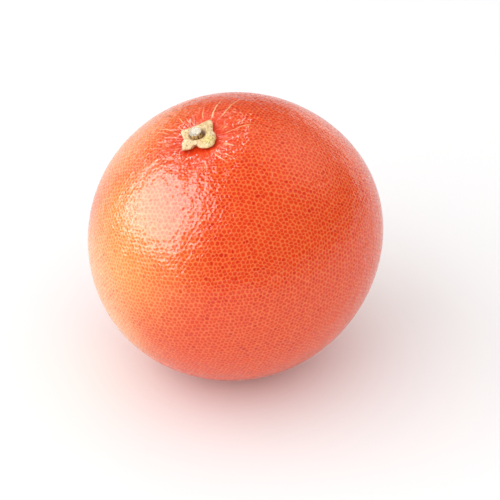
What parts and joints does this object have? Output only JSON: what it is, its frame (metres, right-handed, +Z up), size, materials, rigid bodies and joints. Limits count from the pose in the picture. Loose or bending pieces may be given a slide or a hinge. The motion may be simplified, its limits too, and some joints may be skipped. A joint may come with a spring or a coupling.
{
  "type": "grapefruit",
  "caption": "Whole ripe grapefruit with its stem button on, resting on a small flat spot under the fruit, the stem end leaning to one side.",
  "frame": {"origin": "middle of the small flat spot that the fruit rests on", "axes": "+Z up, out of the table; the stem end is uppermost and leans 17.8 degrees from +Z, towards -X and -Y; -Y is the front"},
  "size_m": [0.1086, 0.107, 0.1031],
  "materials": {
    "rind": "waxy, satin to glossy, dimpled all over with fine oil glands; orange blushed with red",
    "stem_bark": "dry and matt, pale buff with brown flecks"
  },
  "bodies": {
    "root": {"fruit": "rind", "stem_button": "stem_bark"}
  },
  "joints": []
}
